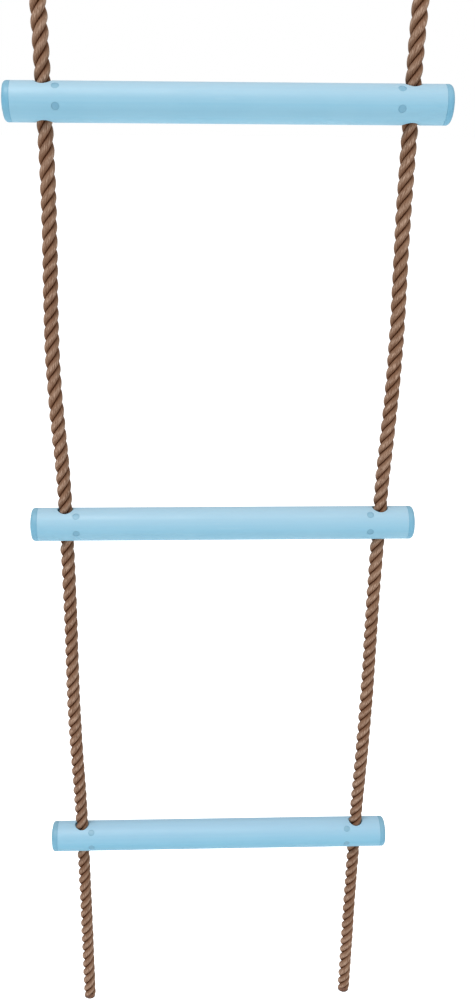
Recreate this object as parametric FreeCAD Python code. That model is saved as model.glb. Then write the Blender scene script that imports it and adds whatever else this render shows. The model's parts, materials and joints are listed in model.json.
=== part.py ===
# Rope ladder: three plastic tube rungs on two laid ropes, hung from two
# thimble eyes.  Millimetres.  +Z up, X along the rungs, -Y is the front.
# Origin: midway between the centres of the two hanging thimbles.
# Pieces that come in pairs are drawn for the right side (+X) and mirrored.
import FreeCAD
import Part
import math
import os

Vector = FreeCAD.Vector
X_AXIS = Vector(1, 0, 0)
Y_AXIS = Vector(0, 1, 0)
Z_AXIS = Vector(0, 0, 1)
SIDES = {"left": -1, "right": 1}

# ---------------------------------------------------------------- dimensions
# rungs
RUNG_COUNT = 3
RUNG_LENGTH = 300.0        # over both end plugs
RUNG_PITCH = 305.0         # centre to centre; also eye centre to first rung
TUBE_OD = 26.0
TUBE_WALL = 2.2
ROPE_HOLE_R = 6.0          # vertical hole through both walls of the tube
ROPE_HOLE_EDGE = 0.4       # rounding of the outer edge of each rope hole

# end plugs
CAP_LENGTH = 6.4           # what shows beyond the tube
CAP_RIM_R = 2.6            # rounding of the cap's outer rim
CAP_DOME = 1.4             # height of the domed end face
CAP_CHAMFER = 0.25         # on the cap's edge against the tube
SPIGOT_CHAMFER = 0.8       # lead-in on the spigot
SPIGOT_FIT = 0.05          # radial clearance of plug and saddle in the tube
SPIGOT_GAP = 0.5           # from the rope's axis to the face of plug or saddle

# rope
ROPE_D = 11.0
ROPE_X = 122.5             # rope axis from the middle of the rung
ROPE_FIT = 0.1             # radial clearance of the rope in its fittings
BEND_GAP = 0.75            # bent rope clears the rung or ferrule by this much
END_GAP = 0.1              # between two lengths of rope at a bend
BEND_LENGTH = 24.0         # from the fore-and-aft bend to the sideways bend
TAIL_LENGTHS = {"left": 192.5, "right": 191.0}  # last rung's axis to the cut end
TAIL_CHAMFER = 0.7

# rope saddles and the pins that lock them
SADDLE_INNER_X = 104.0
PIN_X = 113.7
PIN_R = 2.65
PIN_FIT = 0.02
PIN_ANGLES = (50.5, -11.4)  # degrees above the front of the tube
PIN_INNER_R = 5.6           # how near the tube's axis a pin reaches
PIN_HOLE_EXTRA = 0.2        # saddle hole beyond the pin's inner end
PIN_RECESS = 0.12           # head below the tube's surface
PIN_EDGE = 0.3              # rounding of the head
PIN_TIP_LENGTH = 1.0        # 45 degree cone that trims the inner end
PIN_TIP_INSET = 0.6         # the cone's small end is this much inside PIN_R

# hanging eyes
THIMBLE_BORE_R = 10.0
THIMBLE_HALF_WIDTH = 7.0
THIMBLE_EDGE = 0.6
EYE_R = 17.6               # rope centreline round the thimble, and its rim
SHOULDER_R = 15.0          # rope centreline where the legs close up
LEG_GAP = 0.3              # between the two legs of rope in the ferrule
CUT_LEG_SHOWS = 2.5        # inboard leg's end below the ferrule
SHOULDER_TO_FERRULE = 1.0
FERRULE_LENGTH = 25.0
FERRULE_WALL = 2.5
FERRULE_EDGE = 1.2
FERRULE_WEB = 2.0          # half depth of the slot between the two leg bores

# --------------------------------------------------------- derived dimensions
TUBE_R = TUBE_OD / 2
TUBE_IR = TUBE_R - TUBE_WALL
SPIGOT_R = TUBE_IR - SPIGOT_FIT
HALF_RUNG = RUNG_LENGTH / 2
SEAM_X = HALF_RUNG - CAP_LENGTH             # where tube and cap meet
PIN_HOLE_R = PIN_R + PIN_FIT
ROPE_R = ROPE_D / 2
ROPE_BORE_R = ROPE_R + ROPE_FIT
MOUTH_TO_PIVOT = ROPE_R + BEND_GAP
RUNG_PIVOT = TUBE_R + MOUTH_TO_PIVOT        # bend centre from the rung's axis
STUB = RUNG_PIVOT - ROPE_R - END_GAP        # rope end from the rung's axis
SWAY_PIVOT = RUNG_PIVOT + BEND_LENGTH       # sideways bend from the rung's axis
BEND_END = BEND_LENGTH - ROPE_R - END_GAP   # end of a bend length from its ball
LEG = (ROPE_D + LEG_GAP) / 2                # rope leg from the ferrule's middle
EYE_X = ROPE_X - LEG                        # thimble centre
SHOULDER_Z = -math.sqrt((SHOULDER_R + EYE_R) ** 2 - (LEG + SHOULDER_R) ** 2)
FERRULE_TOP = SHOULDER_Z - SHOULDER_TO_FERRULE
FERRULE_BOTTOM = FERRULE_TOP - FERRULE_LENGTH
EYE_PIVOT = FERRULE_BOTTOM - MOUTH_TO_PIVOT
EYE_STUB = EYE_PIVOT + ROPE_R + END_GAP
EYE_SWAY_PIVOT = EYE_PIVOT - BEND_LENGTH
TOOL_REACH = TUBE_OD       # from the rung's axis to well outside the tube


# ------------------------------------------------------------------- helpers
def rung_z(rung):
    return -RUNG_PITCH * rung


def rod_x(x0, x1, radius):
    return Part.makeCylinder(radius, x1 - x0, Vector(x0, 0, 0), X_AXIS)


def rod_y(x, y0, y1, radius):
    return Part.makeCylinder(radius, y1 - y0, Vector(x, y0, 0), Y_AXIS)


def rod_z(x, z0, z1, radius):
    return Part.makeCylinder(radius, z1 - z0, Vector(x, 0, z0), Z_AXIS)


def outward(degrees):
    """Direction out of the rung's front at an angle above level."""
    angle = math.radians(degrees)
    return Vector(0, -math.cos(angle), math.sin(angle))


def radial_rod(x, degrees, start, end, radius):
    """A rod square to the rung's axis; start and end are measured from it."""
    out = outward(degrees)
    return Part.makeCylinder(radius, end - start, Vector(x, 0, 0) + out * start, out)


def line(start, end):
    return Part.makeLine(start, end)


def arc(start, middle, end):
    return Part.Arc(start, middle, end).toShape()


def on_side(shape, side):
    """A right-hand shape, put on the side asked for."""
    return shape.copy() if side > 0 else shape.mirror(Vector(0, 0, 0), X_AXIS)


def raised(shape, z):
    moved = shape.copy()
    moved.translate(Vector(0, 0, z))
    return moved


def rounded(shape, edges, radius):
    """Round these edges, or leave them sharp."""
    # Guards against a fillet that the kernel refuses or gets wrong.
    try:
        result = shape.makeFillet(radius, edges)
        if result.isValid() and len(result.Solids) == 1 and result.Volume > 0:
            return result.Solids[0]
    except Exception:
        pass
    return shape


# --------------------------------------------------------------------- rungs
def rung_tube():
    """Tube with rope holes and pin holes, rounded before it is hollowed."""
    tube = rod_x(-SEAM_X, SEAM_X, TUBE_R)
    holes = [
        rod_z(side * ROPE_X, -TOOL_REACH, TOOL_REACH, ROPE_HOLE_R)
        for side in SIDES.values()
    ]
    tube = tube.cut(Part.makeCompound(holes)).Solids[0]
    # the hole rims: centred on a rope, well off the axis, and short along X
    rims = [
        edge for edge in tube.Edges
        if abs(abs(edge.BoundBox.Center.x) - ROPE_X) < 0.5
        and abs(edge.BoundBox.Center.z) > 5
        and edge.BoundBox.XLength < 3 * ROPE_HOLE_R
    ]
    tube = rounded(tube, rims, ROPE_HOLE_EDGE)
    tube = tube.cut(rod_x(-HALF_RUNG, HALF_RUNG, TUBE_IR))
    for side in SIDES.values():
        for angle in PIN_ANGLES:
            hole = radial_rod(side * PIN_X, angle, PIN_INNER_R, TOOL_REACH, PIN_HOLE_R)
            tube = tube.cut(hole)
    return tube.Solids[0]


def rope_bore():
    """Cutting tool for the rope's groove in plug and saddle."""
    return rod_z(ROPE_X, -TOOL_REACH, TOOL_REACH, ROPE_BORE_R)


def end_plug():
    """Domed cap, spigot, and a groove for the rope."""
    inner_x = ROPE_X + SPIGOT_GAP
    rim_x = HALF_RUNG - CAP_DOME       # where the rounded rim meets the dome
    rim_start_x = rim_x - CAP_RIM_R
    dome_edge_r = TUBE_R - CAP_RIM_R
    diagonal = CAP_RIM_R * math.sqrt(0.5)
    dome_r = (dome_edge_r ** 2 + CAP_DOME ** 2) / (2 * CAP_DOME)
    half_angle = math.asin(dome_edge_r / dome_r) / 2

    outline = [Vector(x, 0, z) for x, z in (
        (HALF_RUNG, 0),
        (inner_x, 0),
        (inner_x, SPIGOT_R - SPIGOT_CHAMFER),
        (inner_x + SPIGOT_CHAMFER, SPIGOT_R),
        (SEAM_X, SPIGOT_R),
        (SEAM_X, TUBE_R - CAP_CHAMFER),
        (SEAM_X + CAP_CHAMFER, TUBE_R),
        (rim_start_x, TUBE_R),
    )]
    tip, rim_start = outline[0], outline[-1]
    rim_end = Vector(rim_x, 0, dome_edge_r)
    rim_middle = Vector(rim_start_x + diagonal, 0, dome_edge_r + diagonal)
    dome_middle = Vector(
        HALF_RUNG - dome_r + dome_r * math.cos(half_angle),
        0,
        dome_r * math.sin(half_angle),
    )
    sides = [line(start, end) for start, end in zip(outline, outline[1:])]
    # the wire starts at the spigot's inner face and ends along the axis
    edges = sides[1:] + [
        arc(rim_start, rim_middle, rim_end),
        arc(rim_end, dome_middle, tip),
        sides[0],
    ]
    plug = Part.Face(Part.Wire(edges)).revolve(Vector(0, 0, 0), X_AXIS, 360)
    return plug.cut(rope_bore()).Solids[0]


def rope_saddle():
    """Insert inboard of the rope, with two blind pin holes."""
    saddle = rod_x(SADDLE_INNER_X, ROPE_X - SPIGOT_GAP, SPIGOT_R)
    saddle = saddle.cut(rope_bore())
    hole_start = PIN_INNER_R - PIN_HOLE_EXTRA
    for angle in PIN_ANGLES:
        saddle = saddle.cut(radial_rod(PIN_X, angle, hole_start, TOOL_REACH, PIN_HOLE_R))
    return saddle.Solids[0]


def lock_pin(degrees):
    """Pin with a tapered inner end and a head that follows the tube's curve."""
    out = outward(degrees)
    axis_point = Vector(PIN_X, 0, 0)
    pin = radial_rod(PIN_X, degrees, PIN_INNER_R, TOOL_REACH, PIN_R)
    pin = pin.common(rod_x(0, HALF_RUNG, TUBE_R - PIN_RECESS)).Solids[0]
    # the head's rim: far out along the pin, and as wide as the pin
    head = [
        edge for edge in pin.Edges
        if (edge.BoundBox.Center - axis_point).dot(out) > 9
        and edge.BoundBox.XLength > 2 * PIN_R - 0.5
    ]
    pin = rounded(pin, head, PIN_EDGE)

    # trim the inner end to a cone; the envelope is wider than the pin above it
    small_r = PIN_R - PIN_TIP_INSET
    wide_r = small_r + PIN_TIP_LENGTH
    tip = Part.makeCone(
        small_r, wide_r, PIN_TIP_LENGTH, axis_point + out * PIN_INNER_R, out
    )
    body = radial_rod(PIN_X, degrees, PIN_INNER_R + PIN_TIP_LENGTH, TOOL_REACH, wide_r)
    return pin.common(tip.fuse(body).removeSplitter()).Solids[0]


# ---------------------------------------------------------------------- rope
def rope_length(x, z0, z1, *ends):
    """Straight rope from z0 up to z1, with the given end shapes fused on."""
    rope = rod_z(x, z0, z1, ROPE_R)
    for end in ends:
        rope = rope.fuse(end)
    return rope.removeSplitter().Solids[0]


def ball(x, z):
    return Part.makeSphere(ROPE_R, Vector(x, 0, z))


def rope_between(x, z_top, z_bottom):
    """A length of rope with a ball end at each bend."""
    return rope_length(x, z_bottom, z_top, ball(x, z_top), ball(x, z_bottom))


def rope_bend(x, z_ball, way):
    """The short length between a fore-and-aft bend and a sideways bend.

    The ball end sits at the rung or ferrule, the flat end faces the long
    length of rope above (way 1) or below (way -1).
    """
    z0, z1 = sorted((z_ball, z_ball + way * BEND_END))
    return rope_length(x, z0, z1, ball(x, z_ball))


def rope_tail(x, z_top, z_end):
    """A free length: ball end at the bend, blunt cut end below."""
    cut_end = Part.makeCone(
        ROPE_R - TAIL_CHAMFER, ROPE_R, TAIL_CHAMFER, Vector(x, 0, z_end), Z_AXIS
    )
    return rope_length(x, z_end + TAIL_CHAMFER, z_top, ball(x, z_top), cut_end)


# -------------------------------------------------------------- hanging eyes
def thimble():
    """Grooved ring, bore along Y."""
    ring = rod_y(EYE_X, -THIMBLE_HALF_WIDTH, THIMBLE_HALF_WIDTH, EYE_R)
    bore_reach = 2 * THIMBLE_HALF_WIDTH
    ring = ring.cut(rod_y(EYE_X, -bore_reach, bore_reach, THIMBLE_BORE_R))
    ring = ring.makeFillet(THIMBLE_EDGE, ring.Edges)
    groove = Part.makeTorus(EYE_R, ROPE_BORE_R, Vector(EYE_X, 0, 0), Y_AXIS)
    return ring.cut(groove).Solids[0]


def rope_eye():
    """The rope goes up, round the thimble and back down.

    The outboard leg stands in line with the ladder's rope; the inboard leg is
    the cut end.  Both pass through the ferrule.  Drawn about the thimble's
    centre, then moved out to it.
    """
    share = EYE_R / (EYE_R + SHOULDER_R)
    centre = Vector(LEG + SHOULDER_R, 0, SHOULDER_Z)
    touch = Vector(centre.x * share, 0, centre.z * share)
    # middle of the shoulder arc, between the leg's top and the touch point
    touch_angle = math.atan2(touch.z - centre.z, touch.x - centre.x)
    angle = (math.pi + touch_angle) / 2
    middle = centre + Vector(SHOULDER_R * math.cos(angle), 0, SHOULDER_R * math.sin(angle))
    leg_top = Vector(LEG, 0, SHOULDER_Z)
    leg_end = Vector(LEG, 0, EYE_STUB)
    cut_end = Vector(-LEG, 0, FERRULE_BOTTOM - CUT_LEG_SHOWS)

    def flip(point):
        return Vector(-point.x, point.y, point.z)

    path = Part.Wire([
        line(leg_end, leg_top),
        arc(leg_top, middle, touch),
        arc(touch, Vector(0, 0, EYE_R), flip(touch)),
        arc(flip(touch), flip(middle), flip(leg_top)),
        line(flip(leg_top), cut_end),
    ])
    section = Part.Wire(Part.makeCircle(ROPE_R, leg_end, Z_AXIS))
    eye = path.makePipeShell([section], True, False)
    eye.translate(Vector(EYE_X, 0, 0))
    return eye


def oval(radius, z0, z1, web):
    """Two upright rods on the eye's legs, joined by a web 2 * web deep."""
    outboard = rod_z(EYE_X + LEG, z0, z1, radius)
    inboard = rod_z(EYE_X - LEG, z0, z1, radius)
    joint = Part.makeBox(2 * LEG, 2 * web, z1 - z0, Vector(EYE_X - LEG, -web, z0))
    return outboard.fuse([inboard, joint]).removeSplitter()


def ferrule():
    """Oval sleeve round both legs of the eye."""
    outer_r = ROPE_BORE_R + FERRULE_WALL
    overshoot = 5
    sleeve = oval(outer_r, FERRULE_BOTTOM, FERRULE_TOP, outer_r).Solids[0]
    rims = [edge for edge in sleeve.Edges if edge.BoundBox.ZLength < 0.01]
    sleeve = rounded(sleeve, rims, FERRULE_EDGE)
    bores = oval(
        ROPE_BORE_R, FERRULE_BOTTOM - overshoot, FERRULE_TOP + overshoot, FERRULE_WEB
    )
    return sleeve.cut(bores).Solids[0]


# ------------------------------------------------------------------ assembly
def rung_nodes():
    nodes = {}
    tube = rung_tube()
    plug = end_plug()
    saddle = rope_saddle()
    pins = [lock_pin(angle) for angle in PIN_ANGLES]
    for rung in range(1, RUNG_COUNT + 1):
        z = rung_z(rung)
        prefix = f"rung_{rung}"
        nodes[f"{prefix}_tube"] = raised(tube, z)
        rung_pins = []
        for name, side in SIDES.items():
            nodes[f"{prefix}_{name}_end_plug"] = raised(on_side(plug, side), z)
            nodes[f"{prefix}_{name}_rope_saddle"] = raised(on_side(saddle, side), z)
            rung_pins += [raised(on_side(pin, side), z) for pin in pins]
        nodes[f"{prefix}_lock_pins"] = Part.makeCompound(rung_pins)
    return nodes


def rope_nodes(name, side):
    """One side's rope, from below its eye to the cut end."""
    nodes = {}
    x = side * ROPE_X
    rope = f"{name}_rope"
    nodes[f"{rope}_bend_below_eye"] = rope_bend(x, EYE_PIVOT, -1)
    nodes[f"{rope}_eye_to_rung_1"] = rope_between(x, EYE_SWAY_PIVOT, rung_z(1) + SWAY_PIVOT)
    for rung in range(1, RUNG_COUNT + 1):
        z = rung_z(rung)
        nodes[f"{rope}_bend_above_rung_{rung}"] = rope_bend(x, z + RUNG_PIVOT, 1)
        nodes[f"{rope}_through_rung_{rung}"] = rod_z(x, z - STUB, z + STUB, ROPE_R)
        nodes[f"{rope}_bend_below_rung_{rung}"] = rope_bend(x, z - RUNG_PIVOT, -1)
        if rung < RUNG_COUNT:
            nodes[f"{rope}_rung_{rung}_to_{rung + 1}"] = rope_between(
                x, z - SWAY_PIVOT, rung_z(rung + 1) + SWAY_PIVOT
            )
    last_z = rung_z(RUNG_COUNT)
    nodes[f"{rope}_tail"] = rope_tail(x, last_z - SWAY_PIVOT, last_z - TAIL_LENGTHS[name])
    return nodes


def eye_nodes(name, side):
    return {
        f"{name}_thimble": on_side(thimble(), side),
        f"{name}_rope_eye": on_side(rope_eye(), side),
        f"{name}_ferrule": on_side(ferrule(), side),
    }


ladder = rung_nodes()
for side_name, side_sign in SIDES.items():
    ladder.update(rope_nodes(side_name, side_sign))
    ladder.update(eye_nodes(side_name, side_sign))

os.makedirs("parts", exist_ok=True)
for node, shape in ladder.items():
    assert shape.isValid(), node
    shape.exportStep(f"parts/{node}.step")
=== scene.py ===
# A rope ladder: two laid ropes side by side along X, hanging down -Z from metal eyes, with three
# plastic rungs between them, in a plain studio. Metres, in the frame of the CAD part.
# The front is -Y. A side is -1 for the left rope and 1 for the right.
import json
import math

import bpy
import numpy as np
from mathutils import Matrix, Vector


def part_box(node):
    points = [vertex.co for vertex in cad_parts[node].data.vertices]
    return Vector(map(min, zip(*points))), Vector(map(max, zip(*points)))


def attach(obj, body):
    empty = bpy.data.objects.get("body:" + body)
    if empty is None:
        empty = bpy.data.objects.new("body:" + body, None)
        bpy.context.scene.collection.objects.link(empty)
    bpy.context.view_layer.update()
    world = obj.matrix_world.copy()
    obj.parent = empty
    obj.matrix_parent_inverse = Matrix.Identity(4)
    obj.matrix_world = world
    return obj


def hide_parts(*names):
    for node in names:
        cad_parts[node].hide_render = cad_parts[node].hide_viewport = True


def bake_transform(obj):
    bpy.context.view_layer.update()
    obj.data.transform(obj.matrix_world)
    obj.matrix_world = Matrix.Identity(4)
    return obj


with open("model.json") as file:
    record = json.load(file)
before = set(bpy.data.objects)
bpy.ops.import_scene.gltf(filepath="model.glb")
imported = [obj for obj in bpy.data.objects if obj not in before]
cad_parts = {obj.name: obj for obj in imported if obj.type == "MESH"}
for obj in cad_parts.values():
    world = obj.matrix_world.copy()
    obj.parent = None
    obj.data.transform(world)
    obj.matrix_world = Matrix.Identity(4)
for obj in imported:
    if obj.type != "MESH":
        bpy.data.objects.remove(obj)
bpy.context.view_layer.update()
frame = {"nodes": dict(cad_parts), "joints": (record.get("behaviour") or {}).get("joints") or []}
scene = bpy.context.scene
SIDES = (("left", -1), ("right", 1))

# ------------------------------------------------------------------ dimensions
ROPE_R = 0.0055
LAY = 0.0303                     # one full turn of a strand
LAY_PHASE = {-1: 0.4, 1: 1.9}    # the first strand's angle at z = 0
SEED = {-1: 11, 1: 23}
STRAND_OFF = 0.00282             # centre of a strand from the rope's axis
STRAND_R = ROPE_R - STRAND_OFF
YARNS = 9                        # yarns round one strand
PER_YARN = 4                     # mesh columns to a yarn
COLUMNS = YARNS * PER_YARN
RIDGE = np.array([-0.00013, -0.00002, 0.00003, -0.00002])   # a yarn's height above the strand's face
YARN_LIFT = 0.00004              # how much single yarns differ in height
RING = 0.00072                   # mesh rings along the rope
YARN_SLANT = math.tan(math.radians(11))   # how far the yarns lean from the rope's axis

# places of the folds, where the rope bends, and the sways, where a bay swings
joint = {j["name"]: j["pos_m"] for j in frame["joints"]}
EYE_FOLD_Z = joint["fold_below_eyes"][2]
EYE_SWAY_Z = joint["sway_bay_1"][2]
RUNG_Z = {}
for n in (1, 2, 3):
    tube_lo, tube_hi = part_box("rung_%d_tube" % n)
    RUNG_Z[n] = (tube_lo.z + tube_hi.z) / 2
ROPE_X = abs(joint["left_tail_fold"][0])
FOLD = RUNG_Z[1] - joint["fold_below_rung_1"][2]    # bend centre from the rung's axis
SWAY = FOLD + (EYE_FOLD_Z - EYE_SWAY_Z)
JOIN = 0.014                     # from a fold centre to where two meshes meet
OVERLAP = 0.00005                # of the two meshes that meet inside a rung
CALM_FADE = 0.02                 # length over which a rope's size begins to vary
FERRULE_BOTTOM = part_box("left_ferrule")[0].z
LEG_FOOT = FERRULE_BOTTOM + 0.008    # where the eye's mesh starts inside the ferrule

# the eye: a circle round the thimble, met from below by two shoulder arcs
EYE_R = 0.0176
SHOULDER_R = 0.015
LEG = 0.00565                    # each leg from the eye's middle
EYE_X = ROPE_X - LEG
SHOULDER_X = LEG + SHOULDER_R
SHOULDER_Z = -math.sqrt((SHOULDER_R + EYE_R) ** 2 - SHOULDER_X ** 2)
TOUCH = EYE_R / (EYE_R + SHOULDER_R)    # where a shoulder arc meets the eye's circle
SHOULDER_TURN = math.pi - math.atan2(SHOULDER_Z * (TOUCH - 1), SHOULDER_X * (TOUCH - 1))
TOUCH_ANGLE = math.atan2(SHOULDER_Z * TOUCH, SHOULDER_X * TOUCH)
SHOULDER_LENGTH = SHOULDER_R * SHOULDER_TURN
ROUND_LENGTH = EYE_R * (math.pi - 2 * TOUCH_ANGLE)
LOOP_LENGTH = 2 * SHOULDER_LENGTH + ROUND_LENGTH

# the cut ends
CUT_SLOPE = 0.42                 # of the tails' cut ends, front higher than back
CUT_REACH = 0.018                # length over which the slope dies out upwards
TAIL_EXTRA = 0.0015              # the tail reaches this far below its CAD piece
SEAL_RISE = 0.0017               # the strands end this far above the cut
LOBE_RISE = 0.0010               # height above the cut where the sealed end's turn is given
SHORT_END = 0.0025               # the eye's short end below the ferrule


# ------------------------------------------------------------------ mesh tools
def mesh_object(name, verts, faces, attributes=None, flat_ends=False, normals=None):
    """Attributes are per vertex: flat arrays are floats, arrays of rows are vectors."""
    mesh = bpy.data.meshes.new(name)
    mesh.from_pydata(np.asarray(verts, float).tolist(), [], faces)
    for key, values in (attributes or {}).items():
        kind, field = ("FLOAT", "value") if values.ndim == 1 else ("FLOAT_VECTOR", "vector")
        attribute = mesh.attributes.new(key, kind, "POINT")
        attribute.data.foreach_set(field, np.asarray(values, np.float32).ravel())
    mesh.validate()
    # the fans that close a rope's ends are flat
    smooth = [not (flat_ends and len(face.vertices) == 3) for face in mesh.polygons]
    mesh.polygons.foreach_set("use_smooth", smooth)
    if normals is not None:
        # normals given for some vertices; a zero leaves the mesh's own
        corner = np.empty(len(mesh.loops), np.int64)
        mesh.loops.foreach_get("vertex_index", corner)
        sides = np.empty(len(mesh.polygons), np.int64)
        mesh.polygons.foreach_get("loop_total", sides)
        given = normals[corner]
        given[np.repeat(sides == 3, sides)] = 0
        mesh.normals_split_custom_set(given.tolist())
    ob = bpy.data.objects.new(name, mesh)
    scene.collection.objects.link(ob)
    return ob


def dress(ob, material):
    ob.data.materials.clear()
    ob.data.materials.append(material)


def wave(s, seed, period, swing):
    """A smooth wander within +-swing along s, the same every time for the same seed."""
    random = np.random.default_rng(seed)
    out = np.zeros_like(s)
    for pace, share in ((1.0, 0.5), (2.3, 0.3), (4.9, 0.2)):
        out += share * np.sin(2 * np.pi * pace * s / period + random.uniform(0, 2 * np.pi))
    return swing * out


# ------------------------------------------------------------ rope centrelines
# each bay: top, bottom, outward bow by side, and drift along Y (mirrored on the left)
BAY_BOWS = (
    (EYE_FOLD_Z, RUNG_Z[1] + FOLD, {-1: 0.0010, 1: 0.0010}, 0.0006),
    (RUNG_Z[1] - FOLD, RUNG_Z[2] + FOLD, {-1: 0.0036, 1: 0.0022}, -0.0008),
    (RUNG_Z[2] - FOLD, RUNG_Z[3] + FOLD, {-1: 0.0015, 1: 0.0014}, 0.0007),
)
TAIL_SPAN, TAIL_OUT, TAIL_FORWARD = 0.18, 0.0008, 0.0020    # how the tails drift as they fall


def hanging_path(side, z):
    """Centre and two normals, +X and +Y, of a hanging rope at heights z."""
    x = np.full(len(z), side * ROPE_X)
    y = np.zeros(len(z))
    # each bay bows a little outwards, most below its middle, and is straight again at its ends
    for top, bottom, bow, drift in BAY_BOWS:
        t = np.clip((top - z) / (top - bottom), 0, 1)
        inside = (z < top) & (z > bottom)
        swell = np.sin(np.pi * t ** 1.3) ** 2
        x = x + np.where(inside, side * bow[side] * swell, 0)
        y = y + np.where(inside, drift * swell * side, 0)
    t = np.clip((RUNG_Z[3] - FOLD - z) / TAIL_SPAN, 0, 1)
    x = x + side * TAIL_OUT * t ** 2
    y = y - TAIL_FORWARD * t ** 2 * (3 - 2 * t)
    return np.stack([x, y, z], 1), np.tile([1.0, 0, 0], (len(z), 1)), np.tile([0, 1.0, 0], (len(z), 1))


def eye_path(side, s):
    """Centre and two normals of the rope's way up out of the ferrule on its outer leg, round
    the thimble and down the inner leg. s is length above the shoulder."""
    p = np.zeros((len(s), 2))

    def arc(part, centre_x, centre_z, radius, angle):
        p[part] = np.stack([centre_x + radius * np.cos(angle), centre_z + radius * np.sin(angle)], 1)

    round_end = SHOULDER_LENGTH + ROUND_LENGTH
    up = s < 0
    p[up] = np.stack([np.full(up.sum(), LEG), SHOULDER_Z + s[up]], 1)
    part = (s >= 0) & (s < SHOULDER_LENGTH)
    arc(part, SHOULDER_X, SHOULDER_Z, SHOULDER_R, math.pi - s[part] / SHOULDER_R)
    part = (s >= SHOULDER_LENGTH) & (s < round_end)
    arc(part, 0, 0, EYE_R, TOUCH_ANGLE + (s[part] - SHOULDER_LENGTH) / EYE_R)
    part = (s >= round_end) & (s < LOOP_LENGTH)
    arc(part, -SHOULDER_X, SHOULDER_Z, SHOULDER_R, SHOULDER_TURN - (s[part] - round_end) / SHOULDER_R)
    down = s >= LOOP_LENGTH
    p[down] = np.stack([np.full(down.sum(), -LEG), SHOULDER_Z - (s[down] - LOOP_LENGTH)], 1)
    centre = np.stack([side * (p[:, 0] + EYE_X), np.zeros(len(s)), p[:, 1]], 1)
    tangent = np.gradient(centre, axis=0)
    tangent /= np.linalg.norm(tangent, axis=1)[:, None]
    binormal = np.tile([0, 1.0, 0], (len(s), 1))
    return centre, np.cross(binormal, tangent), binormal


# --------------------------------------------------------------------- strands
def strand_section():
    """Closed outline of one strand across the rope, crest towards +X: an ellipse cut by its
    third of the rope. Gives the even steps, then x, y, outward normal x, y and 1 on the
    outer face, and the length round, with the hidden walls counted half."""
    psi = np.linspace(-math.pi / 3, math.pi / 3, 401)
    radial = STRAND_R
    wide = STRAND_R / math.cos(math.atan(2 * math.pi * STRAND_OFF / LAY))
    # the face's distance from the rope's axis solves a quadratic
    qa = np.cos(psi) ** 2 / radial ** 2 + np.sin(psi) ** 2 / wide ** 2
    qb = -2 * STRAND_OFF * np.cos(psi) / radial ** 2
    qc = STRAND_OFF ** 2 / radial ** 2 - 1
    rho = (-qb + np.sqrt(qb ** 2 - 4 * qa * qc)) / (2 * qa)
    squeeze = 0.993              # leaves a hair's gap to the next strand
    face = np.stack([rho * np.cos(psi * squeeze), rho * np.sin(psi * squeeze)], 1)
    tip = np.array([0.0004, 0.0])
    w = np.linspace(0, 1, 121)[1:, None]
    p = np.concatenate([face, face[-1] + (tip - face[-1]) * w, tip + (face[0] - tip) * w])
    step = np.linalg.norm(np.diff(p, axis=0), axis=1)
    step[len(face) - 1:] *= 0.5
    t = np.concatenate([[0], np.cumsum(step)])
    on_face = np.concatenate([np.ones(len(face)), np.zeros(len(p) - len(face))])
    along = np.gradient(p, axis=0)
    along /= np.linalg.norm(along, axis=1)[:, None]
    return t / t[-1], (p[:, 0], p[:, 1], along[:, 1], -along[:, 0], on_face), t[-1]


SECTION_T, SECTION, SECTION_LENGTH = strand_section()
YARN_TURNS = -(2 * math.pi * ROPE_R / LAY - YARN_SLANT) / SECTION_LENGTH    # per metre of rope


def strand_outline(k, length, yarn):
    """Radius and angle from the rope's axis of strand k's points, with its yarns raised."""
    column = np.arange(COLUMNS)
    t = (column[None, :] / COLUMNS + YARN_TURNS * length[:, None] + 0.37 * k) % 1.0
    u, v, normal_u, normal_v, on_face = (np.interp(t, SECTION_T, values) for values in SECTION)
    lift = on_face * (RIDGE[column % PER_YARN] + YARN_LIFT * yarn)[None, :]
    u, v = u + normal_u * lift, v + normal_v * lift
    return np.hypot(u, v), np.arctan2(v, u)


def grow(a):
    """One ring more at each end, as if the rope ran on, to find the end rings' normals."""
    return np.concatenate([2 * a[:1] - a[1:2], a, 2 * a[-1:] - a[-2:-1]])


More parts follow.
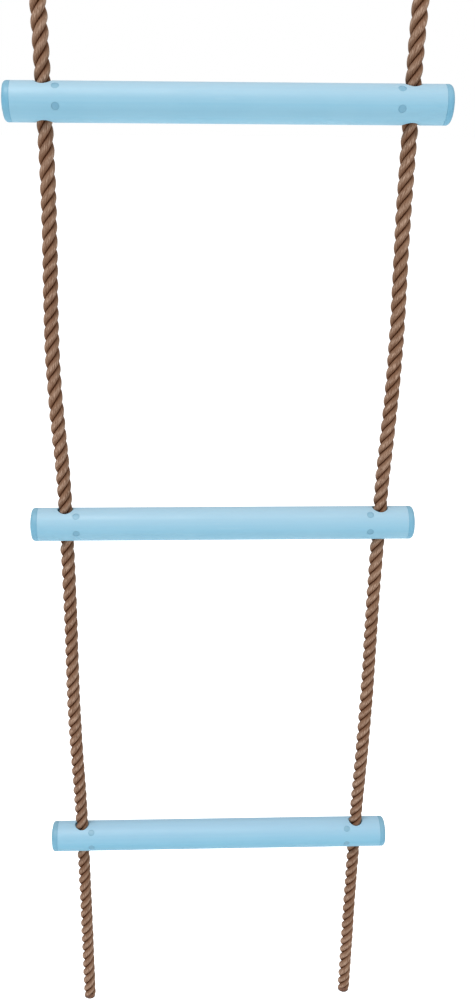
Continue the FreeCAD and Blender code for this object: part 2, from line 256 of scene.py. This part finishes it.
def laid_rope(name, side, path, length, calm, seal=None):
    """Three strands laid right-handed round a centreline. length runs up the rope and sets
    each ring's place in the lay. calm is 0 where the rope must keep to its nominal size, as
    inside a rung, and 1 where it may vary. seal is the height of a cut and sealed end."""
    seed = SEED[side]
    rings = len(length)
    centre, normal, binormal, length = (grow(a) for a in (*path, length))
    calm = np.pad(calm, 1, mode="edge")
    column = np.arange(COLUMNS)
    third = 2 * np.pi / 3
    base = 2 * np.pi * length / LAY + LAY_PHASE[side] + wave(length, seed, period=0.19, swing=0.22)
    theta = [base + third * k + wave(length, seed + 40 + k, period=0.061, swing=0.10)
             for k in range(3)]
    size = 1 + calm * (wave(length, seed + 80, period=0.27, swing=0.022) + 0.010)
    if seal is not None:
        # the strands draw together where the end is cut and sealed
        q = np.clip(np.abs(length - seal) / 0.006, 0, 1)
        size = size * (1 - 0.09 * (1 - q) ** 1.3)
    verts, faces, crest, strand, tone, normals = [], [], [], [], [], []
    first = 0
    for k in range(3):
        after = (theta[(k + 1) % 3] - theta[k]) % (2 * np.pi) / 2
        before = (theta[k] - theta[(k - 1) % 3]) % (2 * np.pi) / 2
        yarn = np.random.default_rng(seed + 70 + k).uniform(-1, 1, YARNS)[column // PER_YARN]
        rho, psi = strand_outline(k, length, yarn)
        # a strand that stands proud or lies low for a stretch
        proud = 1 + wave(length, seed + 60 + k, period=0.043, swing=0.020)
        rho = rho * (size * proud)[:, None]
        psi = psi * np.where(psi > 0, after[:, None], before[:, None]) / (np.pi / 3)
        angle = theta[k][:, None] + psi
        pts = (centre[:, None] + (rho * np.cos(angle))[..., None] * normal[:, None]
               + (rho * np.sin(angle))[..., None] * binormal[:, None])
        if seal is not None:
            # the cut runs down from front to back
            q = np.clip((seal + CUT_REACH - length) / CUT_REACH, 0, 1)
            pts[..., 2] -= CUT_SLOPE * q[:, None] * (pts[..., 1] - centre[:, None, 1])
        facing = np.zeros((rings, COLUMNS, 3))
        for ring in (0, rings - 1):
            around = np.roll(pts[ring + 1], -1, 0) - np.roll(pts[ring + 1], 1, 0)
            out = np.cross(around, pts[ring + 2] - pts[ring])
            facing[ring] = out / np.linalg.norm(out, axis=1)[:, None]
        normals += [facing.reshape(-1, 3), np.zeros((2, 3))]
        verts.append(pts[1:-1].reshape(-1, 3))
        crest.append((rho[1:-1] / ROPE_R).ravel())
        # texture space: the section rolled into a circle, each strand and side set apart
        around = 2 * np.pi * column / COLUMNS
        place = np.zeros((rings, COLUMNS, 3))
        place[..., 0] = np.cos(around) * SECTION_LENGTH / (2 * np.pi) + 0.03 * k
        place[..., 1] = np.sin(around) * SECTION_LENGTH / (2 * np.pi) + side * 0.05
        place[..., 2] = length[1:-1, None]
        strand.append(place.reshape(-1, 3))
        # painted shade: each yarn's valley column is marked -1 to be painted darker, and each yarn's
        # random tone is added
        tone.append(np.tile(np.where(column % PER_YARN == 0, -1.0, 0.35) + 0.5 * yarn, rings))
        row = first + np.arange(rings - 1)[:, None] * COLUMNS
        p, q = row + column[None, :], row + ((column + 1) % COLUMNS)[None, :]
        faces.extend(np.stack([p, q, q + COLUMNS, p + COLUMNS], -1).reshape(-1, 4).tolist())
        # a fan closes each end
        for end, ring in enumerate((0, rings - 1)):
            hub = first + rings * COLUMNS + end
            at = ring + 1
            toward = (math.cos(theta[k][at]) * normal[at] + math.sin(theta[k][at]) * binormal[at])
            verts.append((centre[at] + STRAND_OFF * toward)[None, :])
            crest.append(np.array([0.5]))
            strand.append(np.array([[0.03 * k, side * 0.05, length[at]]]))
            tone.append(np.array([-1.0]))
            start = first + ring * COLUMNS
            for j in range(COLUMNS):
                fan = [start + j, start + (j + 1) % COLUMNS, hub]
                faces.append(fan if end else fan[::-1])
        first += rings * COLUMNS + 2
    attributes = {key: np.concatenate(parts)
                  for key, parts in (("crest", crest), ("tone", tone), ("strand", strand))}
    ob = mesh_object(name, np.concatenate(verts), faces, attributes, flat_ends=True,
                     normals=np.concatenate(normals))
    dress(ob, ROPE)
    return ob


# -------------------------------------------------------------- material tools
def srgb(r, g, b):
    """A linear colour from sRGB values of 0 to 255."""
    def linear(c):
        c /= 255.0
        return c / 12.92 if c <= 0.04045 else ((c + 0.055) / 1.055) ** 2.4
    return (linear(r), linear(g), linear(b), 1.0)


class Shader:
    """A Principled material, with short ways to make and join its nodes."""

    def __init__(self, name):
        self.material = bpy.data.materials.new(name)
        self.material.use_nodes = True
        self.tree = self.material.node_tree
        self.tree.nodes.clear()
        output = self.add("ShaderNodeOutputMaterial")
        self.principled = self.add("ShaderNodeBsdfPrincipled")
        self.set(output.inputs[0], self.principled.outputs[0])

    def set(self, socket, value):
        if isinstance(value, bpy.types.NodeSocket):
            self.tree.links.new(value, socket)
        else:
            socket.default_value = value

    def feed(self, name, value):
        self.set(self.principled.inputs[name], value)

    def add(self, kind, inputs=None, **settings):
        node = self.tree.nodes.new(kind)
        for key, value in settings.items():
            setattr(node, key, value)
        for key, value in (inputs or {}).items():
            self.set(node.inputs[key], value)
        return node

    def attribute(self, name, which="Fac"):
        return self.add("ShaderNodeAttribute", attribute_name=name).outputs[which]

    def coordinate(self, which="Object"):
        return self.add("ShaderNodeTexCoord").outputs[which]

    def split(self, vector):
        return self.add("ShaderNodeSeparateXYZ", {0: vector}).outputs

    def mapping(self, vector, scale=(1, 1, 1)):
        return self.add("ShaderNodeMapping", {"Vector": vector, "Scale": scale}).outputs[0]

    def noise(self, vector, scale=1.0, detail=3.0, rough=0.55, distortion=0.0):
        return self.add("ShaderNodeTexNoise", {
            "Vector": vector, "Scale": scale, "Detail": detail, "Roughness": rough,
            "Distortion": distortion}).outputs["Fac"]

    def remap(self, value, over, to=(0.0, 1.0), smooth=False):
        return self.add("ShaderNodeMapRange", {
            "Value": value, "From Min": over[0], "From Max": over[1],
            "To Min": to[0], "To Max": to[1],
        }, interpolation_type="SMOOTHSTEP" if smooth else "LINEAR").outputs[0]

    def math(self, op, a, b=0.0):
        return self.add("ShaderNodeMath", {0: a, 1: b}, operation=op).outputs[0]

    def plus(self, total, value, weight):
        return self.math("ADD", total, self.math("MULTIPLY", value, weight))

    def mix(self, factor, a, b):
        inputs = {"Factor": factor, 6: a, 7: b}
        return self.add("ShaderNodeMix", inputs, data_type="RGBA").outputs[2]

    def tint(self, colour, other, by, over, share=(0.0, 1.0), smooth=False):
        """Mix other into colour, by the share that a value is remapped to."""
        return self.mix(self.remap(by, over, share, smooth), colour, other)

    def bump(self, height, strength, distance, normal=None):
        inputs = {"Strength": strength, "Distance": distance, "Height": height}
        if normal is not None:
            inputs["Normal"] = normal
        return self.add("ShaderNodeBump", inputs).outputs[0]


# ------------------------------------------------------------------- materials
def rope_material():
    m = Shader("laid_rope_fibre")
    strand = m.attribute("strand", "Vector")
    crest = m.attribute("crest")
    tone = m.attribute("tone")
    # fibres: noise drawn out along the yarns
    fine = m.noise(m.mapping(strand, (1.0, 1.0, 0.045)), scale=9000.0, detail=4.0, rough=0.6,
                   distortion=0.3)
    coarse = m.noise(m.mapping(strand, (1.0, 1.0, 0.10)), scale=2600.0, distortion=0.4)
    patch = m.noise(m.mapping(m.coordinate()), scale=38.0)
    slow = m.noise(m.mapping(m.coordinate()), scale=7.0, detail=2.0, rough=0.5)
    col = m.tint(srgb(98, 66, 46), srgb(149, 112, 89), by=fine, over=(0.34, 0.66))
    col = m.tint(col, srgb(170, 137, 113), by=coarse, over=(0.38, 0.66), share=(0.0, 0.65))
    col = m.tint(col, srgb(120, 84, 60), by=patch, over=(0.40, 0.66), share=(0.0, 0.30))
    col = m.tint(col, srgb(176, 146, 122), by=slow, over=(0.42, 0.62), share=(0.0, 0.16))
    # painted shade: the yarn valleys, the strands' flanks and the grooves between strands are painted
    # darker
    for painted_shade, by, over, most in (
        (srgb(88, 52, 32), tone, (-1.2, 0.0), 0.38),
        (srgb(108, 67, 41), crest, (0.70, 0.93), 0.40),
        (srgb(84, 39, 13), crest, (0.56, 0.79), 0.90),
    ):
        col = m.tint(col, painted_shade, by=by, over=over, share=(most, 0.0), smooth=True)
    # painted highlight: the outermost crests are painted pale
    painted_crest_highlight = m.math("MULTIPLY", m.remap(crest, over=(0.94, 1.01), smooth=True),
                  m.remap(coarse, over=(0.42, 0.64), to=(0.0, 0.85)))
    m.feed("Base Color", m.mix(painted_crest_highlight, col, srgb(204, 174, 152)))
    m.feed("Roughness", m.remap(fine, over=(0.3, 0.7), to=(0.92, 0.66)))
    m.feed("Sheen Weight", m.remap(crest, over=(0.8, 1.0), to=(0.0, 0.30), smooth=True))
    m.feed("Sheen Roughness", 0.45)
    m.feed("Sheen Tint", srgb(214, 184, 158))
    m.feed("Specular IOR Level", m.remap(crest, over=(0.75, 1.0), to=(0.0, 0.22), smooth=True))
    height = m.plus(m.math("MULTIPLY", fine, 0.6), coarse, weight=0.9)
    m.feed("Normal", m.bump(height, strength=0.85, distance=0.00022))
    return m.material


def sealed_material():
    m = Shader("sealed_rope_end")
    pos = m.coordinate()
    fine = m.noise(m.mapping(pos), scale=900.0, rough=0.6)
    blotch = m.noise(m.mapping(pos), scale=220.0, detail=2.0, rough=0.5)
    col = m.tint(srgb(70, 38, 22), srgb(122, 78, 52), by=fine, over=(0.35, 0.7))
    col = m.tint(col, srgb(146, 99, 70), by=blotch, over=(0.45, 0.7), share=(0.0, 0.6))
    # the rim and the cut face are burnt dark
    burnt = m.attribute("burnt")
    col = m.tint(col, srgb(48, 25, 14), by=burnt, over=(0.0, 1.0), share=(0.0, 0.8))
    m.feed("Base Color", col)
    m.feed("Roughness", m.remap(blotch, over=(0.3, 0.7), to=(0.35, 0.7)))
    m.feed("Normal", m.bump(fine, strength=0.6, distance=0.0002))
    return m.material


STREAKED, MOTTLED = (2.5, 420.0, 420.0), (160, 160, 160)    # noise per metre along X, Y, Z


def plastic(name, base, deep, rough, painted_top_light=None, grain=MOTTLED):
    """Satin polyethylene: faint streaks or mottling, fine peel, light scuffs."""
    m = Shader(name)
    pos = m.coordinate()
    cloud = m.noise(m.mapping(pos), scale=26.0, rough=0.5)
    streaks = m.noise(m.mapping(pos, grain))
    peel = m.noise(pos, scale=1500.0, detail=2.0, rough=0.5)
    pores = m.noise(pos, scale=5200.0, detail=1.0, rough=0.5)
    scratches = m.noise(m.mapping(pos, (38.0, 900.0, 260.0)), detail=2.0, rough=0.6, distortion=1.2)
    areas = m.noise(m.mapping(pos, (14.0, 14.0, 14.0)), rough=0.6)
    scuff = m.math("MULTIPLY", m.remap(scratches, over=(0.64, 0.72)),
                   m.remap(areas, over=(0.52, 0.64)))
    col = m.tint(base, deep, by=cloud, over=(0.38, 0.64), share=(0.0, 0.5))
    if painted_top_light is not None:
        # painted light: the upper side is painted paler, as if lit from above
        upward = m.split(m.coordinate("Normal"))[2]
        col = m.tint(col, painted_top_light, by=upward, over=(-0.05, 1.0))
    col = m.tint(col, srgb(212, 234, 243), by=streaks, over=(0.35, 0.68), share=(0.0, 0.05))
    col = m.mix(m.math("MULTIPLY", scuff, 0.05), col, srgb(232, 241, 245))
    m.feed("Base Color", col)
    roughness = m.plus(m.remap(cloud, over=(0.3, 0.7), to=rough), scuff, weight=0.16)
    streak_rough = m.remap(streaks, over=(0.3, 0.7), to=(-0.03, 0.03))
    m.feed("Roughness", m.math("ADD", roughness, streak_rough))
    m.feed("Specular IOR Level", 0.55)
    m.feed("Subsurface Weight", 0.10)
    m.feed("Subsurface Radius", (0.6, 0.9, 1.0))
    m.feed("Subsurface Scale", 0.0012)
    height = m.plus(m.math("MULTIPLY", peel, 0.55), pores, weight=0.25)
    height = m.plus(height, streaks, weight=0.5)
    height = m.math("SUBTRACT", height, m.math("MULTIPLY", scuff, 0.5))
    m.feed("Normal", m.bump(height, strength=0.16, distance=0.00009))
    return m.material


def turned_lines(m, pos):
    """Fine rings round the bore of whichever thimble this is."""
    x, y, z = m.split(pos)
    across = m.math("SUBTRACT", m.math("ABSOLUTE", x), EYE_X)
    squares = m.math("ADD", m.math("MULTIPLY", across, across), m.math("MULTIPLY", z, z))
    rings = m.add("ShaderNodeCombineXYZ", {
        0: m.math("SQRT", squares), 1: m.math("MULTIPLY", y, 0.6), 2: m.math("MULTIPLY", z, 0.02)})
    return m.noise(rings.outputs[0], scale=2600.0, rough=0.6)


def metal(name, colour, rough, grain=None, dents=0.0):
    """Metal with lines drawn out by the grain's scale, or turned where no grain is given."""
    m = Shader(name)
    pos = m.coordinate()
    lines = m.noise(m.mapping(pos, grain), rough=0.6) if grain else turned_lines(m, pos)
    spots = m.noise(pos, scale=130.0, detail=4.0, rough=0.65)
    darker = tuple(c * 0.74 for c in colour[:3]) + (1,)
    col = m.tint(colour, darker, by=lines, over=(0.3, 0.7), share=(0.0, 0.4))
    col = m.tint(col, srgb(134, 130, 124), by=spots, over=(0.55, 0.78), share=(0.0, 0.22))
    m.feed("Base Color", col)
    m.feed("Metallic", 1.0)
    m.feed("Roughness", m.remap(lines, over=(0.3, 0.7), to=(rough - 0.07, rough + 0.12)))
    normal = m.bump(lines, strength=0.25, distance=0.00006)
    if dents:
        press = m.noise(pos, scale=340.0, detail=2.0, rough=0.5)
        normal = m.bump(press, strength=dents, distance=0.0003, normal=normal)
    m.feed("Normal", normal)
    return m.material


ROPE = rope_material()
SEALED = sealed_material()
# materials of the carried-over pieces, by the end of their names
FINISH = {}
# rung: base, deep and painted top-light colours; the lowest rung is painted darker and bluer, with
# less painted top light, as painted shade
for n, base, deep, painted_top_light in (
    (1, srgb(145, 200, 225), srgb(140, 197, 223), srgb(177, 212, 231)),
    (2, srgb(144, 200, 226), srgb(139, 197, 224), srgb(175, 212, 232)),
    (3, srgb(131, 196, 225), srgb(127, 193, 223), srgb(170, 212, 236)),
):
    FINISH["%d_tube" % n] = plastic("rung_%d_blue_plastic" % n, base, deep, rough=(0.46, 0.58),
                                    painted_top_light=painted_top_light, grain=STREAKED)
FINISH["_end_plug"] = plastic("end_plug_blue_plastic", srgb(115, 181, 211), srgb(109, 176, 207),
                              rough=(0.46, 0.56), painted_top_light=srgb(133, 184, 208))
# painted shade: the pins are painted darker than the tube, for the shade in their recessed heads
FINISH["_lock_pins"] = plastic("lock_pin_blue_plastic", srgb(119, 176, 203), srgb(112, 169, 197),
                               rough=(0.42, 0.52), painted_top_light=srgb(142, 189, 212))
FINISH["_rope_saddle"] = plastic("saddle_blue_plastic", srgb(140, 192, 216), srgb(131, 184, 210),
                                 rough=(0.42, 0.55))
FINISH["_thimble"] = metal("thimble_brushed_steel", srgb(190, 192, 195), rough=0.32)
ALUMINIUM = metal("ferrule_pressed_aluminium", srgb(196, 198, 201), rough=0.44,
                  grain=(900, 900, 45), dents=0.2)
FINISH["_ferrule"] = ALUMINIUM


# ------------------------------------------------------------------- the ropes
def sealed_end(name, body, x, y, z, turn, tall=0.0052, slope=0.0):
    """A cut end: the strands melted together, filling the grooves, and cut off at height z."""
    radius, jitter = 0.00504, 0.00012
    rows, cols = 14, 60
    verts, faces, burnt = [], [], []
    random = np.random.default_rng(len(name) + int(1000 * abs(x)))
    for i in range(rows):
        t = i / (rows - 1)       # 0 at the top, among the strands, 1 at the flat end
        h = z + tall * (1 - t)
        shell = 0.90 + 0.10 * min(1.0, t / 0.55) if t < 0.95 else 0.972
        for j in range(cols):
            a = 2 * np.pi * j / cols
            lobe = 1 + 0.035 * math.cos(3 * (a - turn - 2 * np.pi * (h - z - LOBE_RISE) / LAY))
            out = radius * lobe * shell * (1 + 0.012 * random.uniform(-1, 1))
            verts.append((x + out * math.cos(a), y + out * math.sin(a),
                          h - slope * out * math.sin(a) + jitter * random.uniform(-1, 1)))
            char = min(1.0, max(0.0, (t - 0.62) / 0.3))
            burnt.append(char * (0.8 + 0.2 * random.uniform(-1, 1)))
    for i in range(rows - 1):
        for j in range(cols):
            q = (j + 1) % cols
            faces.append((i * cols + j, (i + 1) * cols + j, (i + 1) * cols + q, i * cols + q))
    verts.append((x, y, z + tall - 0.0002))
    verts.append((x, y, z - 0.0001))
    last = (rows - 1) * cols
    for j in range(cols):
        q = (j + 1) % cols
        faces.append((j, q, len(verts) - 2))
        faces.append((last + q, last + j, len(verts) - 1))
    ob = mesh_object(name, verts, faces, {"burnt": np.array(burnt + [0.0, 1.0])}, flat_ends=True)
    dress(ob, SEALED)
    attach(ob, body)


def eye_loop(name, side):
    """From inside the ferrule up, round the thimble and down to the cut end."""
    start = LEG_FOOT - SHOULDER_Z
    end = LOOP_LENGTH + (SHOULDER_Z - FERRULE_BOTTOM) + SHORT_END
    s = np.linspace(start, end, int((end - start) / RING))
    eye = laid_rope("%s_rope_eye_loop" % name, side, eye_path(side, s), SHOULDER_Z + s,
                    calm=np.zeros(len(s)))
    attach(eye, "hanger")
    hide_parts("%s_rope_eye" % name)


def hanging(name, side, ends, replaced, seal=None):
    """A length of rope between the top and bottom heights in ends, in place of the pieces named in
    replaced, which are hidden."""
    z_top, z_bottom = ends
    z = np.linspace(z_bottom, z_top, max(3, int(round((z_top - z_bottom) / RING)) + 1))
    calm = np.ones(len(z))
    for rung_z in RUNG_Z.values():
        calm = calm * np.clip((np.abs(z - rung_z) - FOLD) / CALM_FADE, 0, 1)
    calm = calm * np.clip((EYE_FOLD_Z - 0.005 - z) / CALM_FADE, 0, 1)
    ob = laid_rope(name, side, hanging_path(side, z), z, calm, seal)
    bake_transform(ob)
    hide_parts(*replaced)


def bay(name, side, k):
    """The rope above rung k, in two halves, and its way into and out of the rung."""
    rope = "%s_rope" % name
    body = "%s_bay_%d" % (rope, k)
    rung_z = RUNG_Z[k]
    if k == 1:
        above, fold_top, sway_top = "bends_below_eyes", EYE_FOLD_Z, EYE_SWAY_Z
        replaced = [rope + "_eye_to_rung_1"]
    else:
        above = "bends_below_rung_%d" % (k - 1)
        fold_top, sway_top = RUNG_Z[k - 1] - FOLD, RUNG_Z[k - 1] - SWAY
        replaced = ["%s_rung_%d_to_%d" % (rope, k - 1, k)]
    fold_low, sway_low, fold_under = rung_z + FOLD, rung_z + SWAY, rung_z - FOLD
    middle = (sway_top + sway_low) / 2
    hanging(body + "_upper_half", side, (fold_top - JOIN, middle),
            replaced)
    hanging(body + "_lower_half", side, (middle, fold_low + JOIN),
            replaced)
    hanging("%s_entering_rung_%d" % (rope, k), side, (fold_low + JOIN, rung_z + OVERLAP),
            ["%s_bend_above_rung_%d" % (rope, k), "%s_through_rung_%d" % (rope, k)])
    hanging("%s_leaving_rung_%d" % (rope, k), side, (rung_z - OVERLAP, fold_under - JOIN),
            ["%s_bend_below_rung_%d" % (rope, k)])


def tail(name, side):
    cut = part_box("%s_rope_tail" % name)[0].z - TAIL_EXTRA
    top = RUNG_Z[3] - FOLD - JOIN
    strands_end = cut + SEAL_RISE
    hanging("%s_rope_tail_length" % name, side, (top, strands_end),
            ["%s_rope_tail" % name], seal=strands_end)
    centre = hanging_path(side, np.array([strands_end]))[0]
    sealed_end("%s_rope_sealed_end" % name, "%s_tail" % name, centre[0, 0], centre[0, 1], cut,
               turn=2 * np.pi * (cut + LOBE_RISE) / LAY + LAY_PHASE[side], slope=CUT_SLOPE)


for name, side in SIDES:
    eye_loop(name, side)
    hanging("%s_rope_leaving_ferrule" % name, side, (LEG_FOOT, EYE_FOLD_Z - JOIN),
            ["%s_rope_bend_below_eye" % name])
    for k in (1, 2, 3):
        bay(name, side, k)
    tail(name, side)
    # the short end that comes out below the ferrule
    sealed_end("%s_rope_short_end" % name, "hanger", side * (EYE_X - LEG), 0.0,
               FERRULE_BOTTOM - SHORT_END - 0.0006, turn=0.8, tall=0.0026)


# ------------------------------------------------------------ pressed ferrules
def ferrule(name, side):
    """An oval sleeve round both legs, with three bands pressed in by the dies and a faint
    flash line at each end of the oval."""
    bands, band_half = (0.2, 0.5, 0.8), 0.125    # as shares of the height
    press_depth, flash_height = 0.00036, 0.00006
    edge, lip = 0.0012, 0.0004                   # outer rounding, inner chamfer
    lo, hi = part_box(name)
    cx, ry = (lo.x + hi.x) / 2, (hi.y - lo.y) / 2
    half = (hi.x - lo.x) / 2 - ry
    wall = ry - (ROPE_R + 0.0001)
    # profile: inset from the outer face, and height
    quarter = [math.pi / 2 * i / 6 for i in range(7)]
    profile = [(wall, lo.z + lip), (wall - lip, lo.z)]
    profile += [(edge - edge * math.sin(a), lo.z + edge - edge * math.cos(a)) for a in quarter]
    profile += [(0.0, lo.z + edge + (hi.z - lo.z - 2 * edge) * i / 80) for i in range(1, 80)]
    profile += [(edge - edge * math.cos(a), hi.z - edge + edge * math.sin(a)) for a in quarter]
    profile += [(wall - lip, hi.z), (wall, hi.z - lip)]
    # the oval: x of the arc's centre, and angle
    oval = [(half - 2 * half * i / 24, math.pi / 2) for i in range(24)]
    oval += [(-half, math.pi / 2 + math.pi * i / 48) for i in range(48)]
    oval += [(-half + 2 * half * i / 24, 1.5 * math.pi) for i in range(24)]
    oval += [(half, 1.5 * math.pi + math.pi * i / 48) for i in range(48)]
    tilt = np.random.default_rng(5 + side).uniform(-0.006, 0.006, 3)
    verts, faces = [], []
    for inset, z in profile:
        f = (z - lo.z) / (hi.z - lo.z)
        for x, a in oval:
            face, end = abs(math.sin(a)), abs(math.cos(a))
            press = 0.0
            if inset < 0.001:
                for band, lean in zip(bands, tilt):
                    away = abs(f - band - lean * x / half) / band_half
                    q = min(1.0, max(0.0, away - 0.50) / 0.50)
                    press = max(press, 1 - q * q * (3 - 2 * q))
            flash = math.exp(-((math.acos(min(1.0, end)) / 0.07) ** 2))
            r = ry - (inset + press * (press_depth * face ** 1.5 - flash_height * flash))
            verts.append((cx + x + r * math.cos(a), r * math.sin(a), z))
    n, rows = len(oval), len(profile)
    for i in range(rows):
        for j in range(n):
            p, q = (i + 1) % rows, (j + 1) % n
            faces.append((i * n + j, i * n + q, p * n + q, p * n + j))
    ob = mesh_object("%s_pressed" % name, verts, faces)
    dress(ob, ALUMINIUM)
    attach(ob, "hanger")
    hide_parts(name)


for name, side in SIDES:
    ferrule("%s_ferrule" % name, side)

# --------------------------------------------------------- carried-over pieces
for name, ob in frame["nodes"].items():
    if ob.hide_render:
        continue
    for ending, material in FINISH.items():
        if name.endswith(ending):
            dress(ob, material)


# ---------------------------------------------------------------------- studio
def studio_floor(z=-1.75, radius=40.0, sides=72):
    """A white disc that glows more to the camera than to the ladder."""
    m = Shader("studio_white")
    cloud = m.noise(m.coordinate(), scale=0.8, detail=2.0, rough=0.5)
    m.feed("Base Color", m.tint((0.93, 0.93, 0.93, 1), (0.95, 0.95, 0.95, 1), by=cloud,
                                over=(0.3, 0.7)))
    m.feed("Roughness", 0.9)
    m.feed("Specular IOR Level", 0.1)
    m.feed("Emission Color", (1, 1, 1, 1))
    seen = m.add("ShaderNodeLightPath").outputs["Is Camera Ray"]
    m.feed("Emission Strength", m.remap(seen, over=(0.0, 1.0), to=(0.35, 0.8)))
    angles = [2 * math.pi * i / sides for i in range(sides)]
    verts = [(0, 0, z)] + [(radius * math.cos(a), radius * math.sin(a), z) for a in angles]
    faces = [(0, i + 1, (i + 1) % sides + 1) for i in range(sides)]
    ob = mesh_object("studio_floor", verts, faces)
    dress(ob, m.material)


def white_room():
    """The room lights evenly and softly, and looks white straight on."""
    world = bpy.data.worlds.new("soft_white")
    scene.world = world
    world.use_nodes = True
    tree = world.node_tree
    background = tree.nodes["Background"]
    background.inputs[0].default_value = (1, 1, 1, 1)
    seen = tree.nodes.new("ShaderNodeLightPath")
    level = tree.nodes.new("ShaderNodeMapRange")
    tree.links.new(seen.outputs["Is Camera Ray"], level.inputs["Value"])
    level.inputs["To Min"].default_value = 0.45
    level.inputs["To Max"].default_value = 1.0
    tree.links.new(level.outputs[0], background.inputs[1])


def area(name, place, size, watts, target=(0, 0, -0.61)):
    """A rectangular light aimed at the ladder's middle."""
    light = bpy.data.lights.new(name, "AREA")
    light.shape = "RECTANGLE"
    light.size, light.size_y = size
    light.energy = watts
    ob = bpy.data.objects.new(name, light)
    scene.collection.objects.link(ob)
    ob.location = place
    ob.rotation_mode = "QUATERNION"
    ob.rotation_quaternion = (Vector(target) - Vector(place)).to_track_quat("-Z", "Y")


def camera(place, down, yaw, roll, lens, shift):
    """A camera facing +Y, then rolled about Y, tipped down and turned about Z, in degrees."""
    data = bpy.data.cameras.new("camera")
    ob = bpy.data.objects.new("camera", data)
    scene.collection.objects.link(ob)
    data.sensor_width = 36.0
    data.lens = lens
    data.shift_x = shift
    data.clip_start, data.clip_end = 0.02, 60.0
    turn = (
        Matrix.Rotation(math.radians(yaw), 3, "Z")
        @ Matrix.Rotation(math.radians(-down), 3, "X")
        @ Matrix.Rotation(math.radians(roll), 3, "Y")
    )
    right, ahead, up = (turn.col[i] for i in range(3))
    aim = Matrix((right, up, -ahead)).transposed().to_4x4()
    ob.matrix_world = Matrix.Translation(place) @ aim
    scene.camera = ob


studio_floor()
white_room()
area("overhead_softbox", place=(-1.25, -2.25, 4.665), size=(2.5, 2.0), watts=180.0)
area("front_fill", place=(0.9, -2.2, 0.1), size=(1.6, 1.6), watts=4.0)
# the lens axis falls a little left of the frame's middle
camera(place=Vector((-0.03434, -0.70310, 0.30882 + RUNG_Z[2])), down=22.336, yaw=-2.063,
       roll=-0.49, lens=35.32752, shift=0.0255)
scene.view_settings.view_transform = "Standard"
scene.view_settings.look = "None"

# ------------------------------------------------------------------------ update
bpy.context.view_layer.update()
